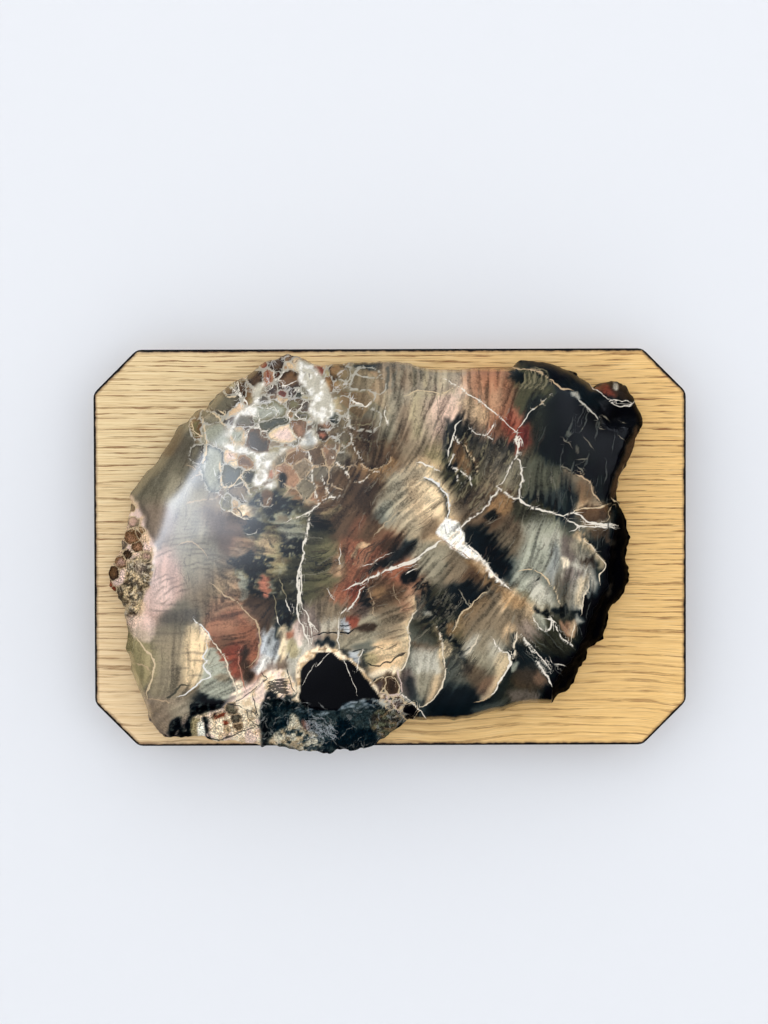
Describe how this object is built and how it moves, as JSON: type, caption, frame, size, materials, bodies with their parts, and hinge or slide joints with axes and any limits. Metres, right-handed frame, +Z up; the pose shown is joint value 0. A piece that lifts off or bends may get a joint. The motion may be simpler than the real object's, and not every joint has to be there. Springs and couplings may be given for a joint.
{
  "type": "wall-mounted petrified wood slab",
  "caption": "Polished slab of petrified wood with a raw rim, fixed to an oak board with cut corners that hangs flat on a wall.",
  "frame": {"origin": "middle of the hanging cleat's back face, where it lies against the wall", "axes": "+X to the right and +Z up, seen from the front; +Y into the wall, out of the object's back"},
  "size_m": [0.3, 0.0596, 0.204],
  "materials": {
    "petrified_wood": "polished",
    "oak": "satin",
    "cleat_wood": "matte"
  },
  "bodies": {
    "root": {"petrified_wood": "petrified_wood", "oak_board": "oak", "hanging_cleat": "cleat_wood", "lower_batten": "cleat_wood"}
  },
  "joints": []
}
